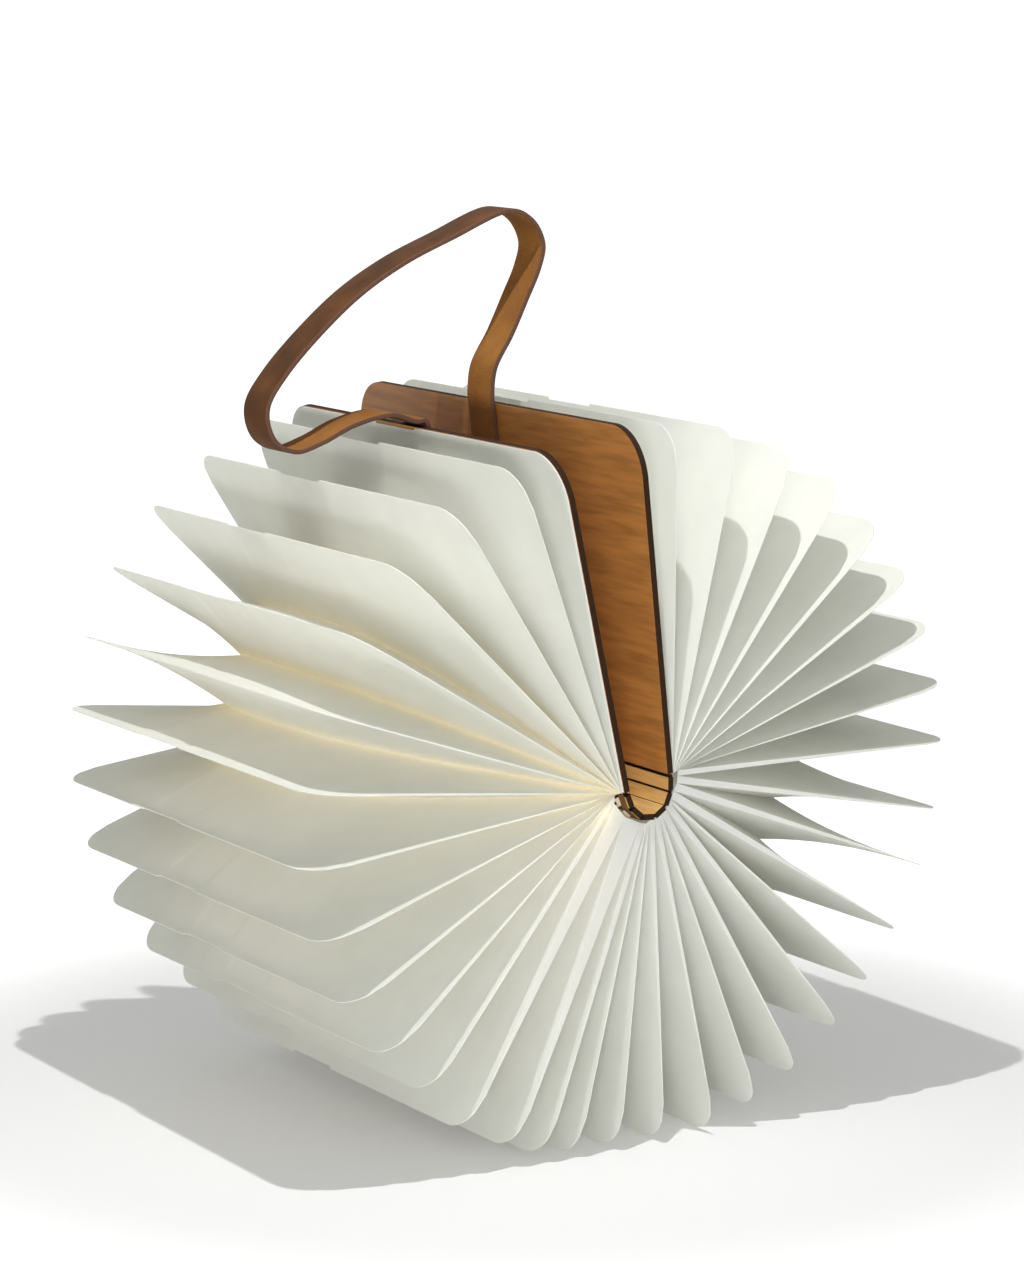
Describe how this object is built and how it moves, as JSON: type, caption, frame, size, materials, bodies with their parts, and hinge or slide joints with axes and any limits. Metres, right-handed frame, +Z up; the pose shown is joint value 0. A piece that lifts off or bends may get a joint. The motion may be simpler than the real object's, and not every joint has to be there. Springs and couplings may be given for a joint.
{
  "type": "folding book lamp",
  "caption": "Wooden book with hinged accordion pages: its boards swing right round into a standing paper fan with a light bar in the spine and a leather strap handle.",
  "frame": {"origin": "centre of the open fan, on the floor plane that the rims of its four lowest pages rest on", "axes": "+Z up, from the floor through the hub; Y along the spine, with the socket end of the light bar at -Y; +X to the right seen from -Y, from the back board's side to the front board's side"},
  "size_m": [0.292, 0.216, 0.3551],
  "materials": {
    "walnut_ply": "oiled walnut face, charred laser-cut edges",
    "charred_wood": "dark laser-cut wood",
    "spunbond_paper": "matt white spunbond sheet",
    "strap_leather": "brown grain leather with tan suede back",
    "magnet": "nickel-plated",
    "cream_plastic": "matt",
    "dark_plastic": "matt",
    "cell_wrap": "shrink sleeve",
    "white_board": "white solder mask",
    "led_gel": "phosphor gel",
    "opal_plastic": "opal diffuser"
  },
  "bodies": {
    "front_board": {"front_cover": "walnut_ply", "front_endpaper": "spunbond_paper", "front_magnet": "magnet", "spine_lining": "spunbond_paper", "page_folds": "spunbond_paper", "leather_strap": "strap_leather"},
    "back_board": {"back_cover": "walnut_ply", "back_endpaper": "spunbond_paper", "back_magnet": "magnet"},
    "slat_1": {"slat_1": "walnut_ply"},
    "slat_2": {"slat_2": "walnut_ply"},
    "slat_3": {"slat_3": "walnut_ply"},
    "slat_4": {"slat_4": "walnut_ply"},
    "slat_5": {"slat_5": "walnut_ply", "cable_strip": "cream_plastic"},
    "slat_6": {"slat_6": "walnut_ply", "bar_plates": "charred_wood", "bar_channel": "cream_plastic", "charge_socket": "dark_plastic", "battery_cell": "cell_wrap", "led_board": "white_board", "led_chips": "led_gel", "bar_diffuser": "opal_plastic", "fold_switch": "dark_plastic"},
    "page_01": {"page_01": "spunbond_paper"},
    "page_02": {"page_02": "spunbond_paper"},
    "page_03": {"page_03": "spunbond_paper"},
    "page_04": {"page_04": "spunbond_paper"},
    "page_05": {"page_05": "spunbond_paper"},
    "page_06": {"page_06": "spunbond_paper"},
    "page_07": {"page_07": "spunbond_paper"},
    "page_08": {"page_08": "spunbond_paper"},
    "page_09": {"page_09": "spunbond_paper"},
    "page_10": {"page_10": "spunbond_paper"},
    "page_11": {"page_11": "spunbond_paper"},
    "page_12": {"page_12": "spunbond_paper"},
    "page_13": {"page_13": "spunbond_paper"},
    "page_14": {"page_14": "spunbond_paper"},
    "page_15": {"page_15": "spunbond_paper"},
    "page_16": {"page_16": "spunbond_paper"},
    "page_17": {"page_17": "spunbond_paper"},
    "page_18": {"page_18": "spunbond_paper"},
    "page_19": {"page_19": "spunbond_paper"},
    "page_20": {"page_20": "spunbond_paper"},
    "page_21": {"page_21": "spunbond_paper"},
    "page_22": {"page_22": "spunbond_paper"},
    "page_23": {"page_23": "spunbond_paper"},
    "page_24": {"page_24": "spunbond_paper"},
    "page_25": {"page_25": "spunbond_paper"},
    "page_26": {"page_26": "spunbond_paper"},
    "page_27": {"page_27": "spunbond_paper"},
    "page_28": {"page_28": "spunbond_paper"},
    "page_29": {"page_29": "spunbond_paper"},
    "page_30": {"page_30": "spunbond_paper"},
    "page_31": {"page_31": "spunbond_paper"},
    "page_32": {"page_32": "spunbond_paper"},
    "page_33": {"page_33": "spunbond_paper"},
    "page_34": {"page_34": "spunbond_paper"}
  },
  "joints": [
    {"name": "spine_fold_1", "type": "hinge", "parent": "front_board", "child": "slat_1", "pos_m": [0.01021, 0, 0.14554], "axis": [0, 1, 0], "range_deg": [-32.16, 0]},
    {"name": "spine_fold_2", "type": "hinge", "parent": "slat_1", "child": "slat_2", "pos_m": [0.01016, 0, 0.13894], "axis": [0, 1, 0], "range_deg": [-46.72, 0]},
    {"name": "spine_fold_3", "type": "hinge", "parent": "slat_2", "child": "slat_3", "pos_m": [0.00775, 0, 0.13279], "axis": [0, 1, 0], "range_deg": [-58.83, 0]},
    {"name": "spine_fold_4", "type": "hinge", "parent": "slat_3", "child": "slat_4", "pos_m": [0.00237, 0, 0.12896], "axis": [0, 1, 0], "range_deg": [-64.97, 0]},
    {"name": "spine_fold_5", "type": "hinge", "parent": "slat_4", "child": "slat_5", "pos_m": [-0.00422, 0, 0.1294], "axis": [0, 1, 0], "range_deg": [-62.96, 0]},
    {"name": "spine_fold_6", "type": "hinge", "parent": "slat_5", "child": "slat_6", "pos_m": [-0.0092, 0, 0.13373], "axis": [0, 1, 0], "range_deg": [-52.5, 0]},
    {"name": "spine_fold_7", "type": "hinge", "parent": "slat_6", "child": "back_board", "pos_m": [-0.01169, 0, 0.13984], "axis": [0, 1, 0], "range_deg": [-35.51, 0], "deforming": ["spine_lining", "page_folds", "leather_strap"]},
    {"name": "page_hinge_01", "type": "hinge", "parent": "back_board", "child": "page_01", "pos_m": [-0.0127, 0, 0.14187], "axis": [0, 1, 0], "range_deg": [0, 7.21]},
    {"name": "page_hinge_02", "type": "hinge", "parent": "back_board", "child": "page_02", "pos_m": [-0.01307, 0, 0.14163], "axis": [0, 1, 0], "range_deg": [0, 19.96]},
    {"name": "page_hinge_03", "type": "hinge", "parent": "back_board", "child": "page_03", "pos_m": [-0.01345, 0, 0.14138], "axis": [0, 1, 0], "range_deg": [0, 32.92]},
    {"name": "page_hinge_04", "type": "hinge", "parent": "back_board", "child": "page_04", "pos_m": [-0.01383, 0, 0.14114], "axis": [0, 1, 0], "range_deg": [0, 45.98]},
    {"name": "page_hinge_05", "type": "hinge", "parent": "back_board", "child": "page_05", "pos_m": [-0.0142, 0, 0.14089], "axis": [0, 1, 0], "range_deg": [0, 59.03]},
    {"name": "page_hinge_06", "type": "hinge", "parent": "back_board", "child": "page_06", "pos_m": [-0.01458, 0, 0.14064], "axis": [0, 1, 0], "range_deg": [0, 71.94]},
    {"name": "page_hinge_07", "type": "hinge", "parent": "back_board", "child": "page_07", "pos_m": [-0.01495, 0, 0.1404], "axis": [0, 1, 0], "range_deg": [0, 84.6]},
    {"name": "page_hinge_08", "type": "hinge", "parent": "back_board", "child": "page_08", "pos_m": [-0.01533, 0, 0.14015], "axis": [0, 1, 0], "range_deg": [0, 96.9]},
    {"name": "page_hinge_09", "type": "hinge", "parent": "back_board", "child": "page_09", "pos_m": [-0.0157, 0, 0.1399], "axis": [0, 1, 0], "range_deg": [0, 108.75]},
    {"name": "page_hinge_10", "type": "hinge", "parent": "back_board", "child": "page_10", "pos_m": [-0.01608, 0, 0.13966], "axis": [0, 1, 0], "range_deg": [0, 120.03]},
    {"name": "page_hinge_11", "type": "hinge", "parent": "back_board", "child": "page_11", "pos_m": [-0.01646, 0, 0.13941], "axis": [0, 1, 0], "range_deg": [0, 130.34]},
    {"name": "page_hinge_12", "type": "hinge", "parent": "slat_6", "child": "page_12", "pos_m": [-0.01623, 0, 0.1327], "axis": [0, 1, 0], "range_deg": [0, 103.04]},
    {"name": "page_hinge_13", "type": "hinge", "parent": "slat_5", "child": "page_13", "pos_m": [-0.0066, 0, 0.12803], "axis": [0, 1, 0], "range_deg": [0, 55.9]},
    {"name": "page_hinge_14", "type": "hinge", "parent": "slat_4", "child": "page_14", "pos_m": [-0.00234, 0, 0.12647], "axis": [0, 1, 0], "range_deg": [-2.81, 0]},
    {"name": "page_hinge_15", "type": "hinge", "parent": "slat_4", "child": "page_15", "pos_m": [-0.0013, 0, 0.127], "axis": [0, 1, 0], "range_deg": [0, 3.16]},
    {"name": "page_hinge_16", "type": "hinge", "parent": "slat_4", "child": "page_16", "pos_m": [-0.00026, 0, 0.12754], "axis": [0, 1, 0], "range_deg": [0, 11.13]},
    {"name": "page_hinge_17", "type": "hinge", "parent": "slat_4", "child": "page_17", "pos_m": [0.00078, 0, 0.12807], "axis": [0, 1, 0], "range_deg": [0, 19.96]},
    {"name": "page_hinge_18", "type": "hinge", "parent": "slat_3", "child": "page_18", "pos_m": [0.00409, 0, 0.12896], "axis": [0, 1, 0], "range_deg": [-36.01, 0]},
    {"name": "page_hinge_19", "type": "hinge", "parent": "slat_3", "child": "page_19", "pos_m": [0.00523, 0, 0.12977], "axis": [0, 1, 0], "range_deg": [-26.9, 0]},
    {"name": "page_hinge_20", "type": "hinge", "parent": "slat_3", "child": "page_20", "pos_m": [0.00637, 0, 0.13059], "axis": [0, 1, 0], "range_deg": [-17.69, 0]},
    {"name": "page_hinge_21", "type": "hinge", "parent": "slat_2", "child": "page_21", "pos_m": [0.00941, 0, 0.13375], "axis": [0, 1, 0], "range_deg": [-67.16, 0]},
    {"name": "page_hinge_22", "type": "hinge", "parent": "slat_2", "child": "page_22", "pos_m": [0.00992, 0, 0.13505], "axis": [0, 1, 0], "range_deg": [-57.66, 0]},
    {"name": "page_hinge_23", "type": "hinge", "parent": "slat_2", "child": "page_23", "pos_m": [0.01043, 0, 0.13636], "axis": [0, 1, 0], "range_deg": [-48, 0]},
    {"name": "page_hinge_24", "type": "hinge", "parent": "slat_1", "child": "page_24", "pos_m": [0.01347, 0, 0.14101], "axis": [0, 1, 0], "range_deg": [-84.91, 0]},
    {"name": "page_hinge_25", "type": "hinge", "parent": "slat_1", "child": "page_25", "pos_m": [0.01348, 0, 0.14221], "axis": [0, 1, 0], "range_deg": [-74.95, 0]},
    {"name": "page_hinge_26", "type": "hinge", "parent": "front_board", "child": "page_26", "pos_m": [0.01399, 0, 0.14696], "axis": [0, 1, 0], "range_deg": [-96.98, 0]},
    {"name": "page_hinge_27", "type": "hinge", "parent": "front_board", "child": "page_27", "pos_m": [0.01357, 0, 0.14697], "axis": [0, 1, 0], "range_deg": [-86.67, 0]},
    {"name": "page_hinge_28", "type": "hinge", "parent": "front_board", "child": "page_28", "pos_m": [0.01314, 0, 0.14699], "axis": [0, 1, 0], "range_deg": [-76.15, 0]},
    {"name": "page_hinge_29", "type": "hinge", "parent": "front_board", "child": "page_29", "pos_m": [0.01272, 0, 0.14701], "axis": [0, 1, 0], "range_deg": [-65.36, 0]},
    {"name": "page_hinge_30", "type": "hinge", "parent": "front_board", "child": "page_30", "pos_m": [0.01229, 0, 0.14702], "axis": [0, 1, 0], "range_deg": [-54.28, 0]},
    {"name": "page_hinge_31", "type": "hinge", "parent": "front_board", "child": "page_31", "pos_m": [0.01187, 0, 0.14704], "axis": [0, 1, 0], "range_deg": [-42.87, 0]},
    {"name": "page_hinge_32", "type": "hinge", "parent": "front_board", "child": "page_32", "pos_m": [0.01145, 0, 0.14705], "axis": [0, 1, 0], "range_deg": [-31.1, 0]},
    {"name": "page_hinge_33", "type": "hinge", "parent": "front_board", "child": "page_33", "pos_m": [0.01102, 0, 0.14707], "axis": [0, 1, 0], "range_deg": [-18.97, 0]},
    {"name": "page_hinge_34", "type": "hinge", "parent": "front_board", "child": "page_34", "pos_m": [0.0106, 0, 0.14709], "axis": [0, 1, 0], "range_deg": [-6.51, 0]}
  ],
  "couplings": [
    {"joint": "spine_fold_1", "follows": "spine_fold_7", "ratio": 0.90546},
    {"joint": "spine_fold_2", "follows": "spine_fold_7", "ratio": 1.3155},
    {"joint": "spine_fold_3", "follows": "spine_fold_7", "ratio": 1.6565},
    {"joint": "spine_fold_4", "follows": "spine_fold_7", "ratio": 1.8294},
    {"joint": "spine_fold_5", "follows": "spine_fold_7", "ratio": 1.7727},
    {"joint": "spine_fold_6", "follows": "spine_fold_7", "ratio": 1.4783},
    {"joint": "page_hinge_01", "follows": "spine_fold_7", "ratio": -0.20276},
    {"joint": "page_hinge_02", "follows": "spine_fold_7", "ratio": -0.56179},
    {"joint": "page_hinge_03", "follows": "spine_fold_7", "ratio": -0.92665},
    {"joint": "page_hinge_04", "follows": "spine_fold_7", "ratio": -1.2945},
    {"joint": "page_hinge_05", "follows": "spine_fold_7", "ratio": -1.662},
    {"joint": "page_hinge_06", "follows": "spine_fold_7", "ratio": -2.0257},
    {"joint": "page_hinge_07", "follows": "spine_fold_7", "ratio": -2.3822},
    {"joint": "page_hinge_08", "follows": "spine_fold_7", "ratio": -2.7285},
    {"joint": "page_hinge_09", "follows": "spine_fold_7", "ratio": -3.0622},
    {"joint": "page_hinge_10", "follows": "spine_fold_7", "ratio": -3.38},
    {"joint": "page_hinge_11", "follows": "spine_fold_7", "ratio": -3.6702},
    {"joint": "page_hinge_12", "follows": "spine_fold_7", "ratio": -2.9015},
    {"joint": "page_hinge_13", "follows": "spine_fold_7", "ratio": -1.5739},
    {"joint": "page_hinge_14", "follows": "spine_fold_7", "ratio": 0.07873},
    {"joint": "page_hinge_15", "follows": "spine_fold_7", "ratio": -0.088732},
    {"joint": "page_hinge_16", "follows": "spine_fold_7", "ratio": -0.31318},
    {"joint": "page_hinge_17", "follows": "spine_fold_7", "ratio": -0.56171},
    {"joint": "page_hinge_18", "follows": "spine_fold_7", "ratio": 1.0137},
    {"joint": "page_hinge_19", "follows": "spine_fold_7", "ratio": 0.75733},
    {"joint": "page_hinge_20", "follows": "spine_fold_7", "ratio": 0.49783},
    {"joint": "page_hinge_21", "follows": "spine_fold_7", "ratio": 1.8909},
    {"joint": "page_hinge_22", "follows": "spine_fold_7", "ratio": 1.6234},
    {"joint": "page_hinge_23", "follows": "spine_fold_7", "ratio": 1.3515},
    {"joint": "page_hinge_24", "follows": "spine_fold_7", "ratio": 2.391},
    {"joint": "page_hinge_25", "follows": "spine_fold_7", "ratio": 2.1105},
    {"joint": "page_hinge_26", "follows": "spine_fold_7", "ratio": 2.7309},
    {"joint": "page_hinge_27", "follows": "spine_fold_7", "ratio": 2.4406},
    {"joint": "page_hinge_28", "follows": "spine_fold_7", "ratio": 2.1441},
    {"joint": "page_hinge_29", "follows": "spine_fold_7", "ratio": 1.8405},
    {"joint": "page_hinge_30", "follows": "spine_fold_7", "ratio": 1.5284},
    {"joint": "page_hinge_31", "follows": "spine_fold_7", "ratio": 1.207},
    {"joint": "page_hinge_32", "follows": "spine_fold_7", "ratio": 0.87556},
    {"joint": "page_hinge_33", "follows": "spine_fold_7", "ratio": 0.53404},
    {"joint": "page_hinge_34", "follows": "spine_fold_7", "ratio": 0.18305}
  ]
}
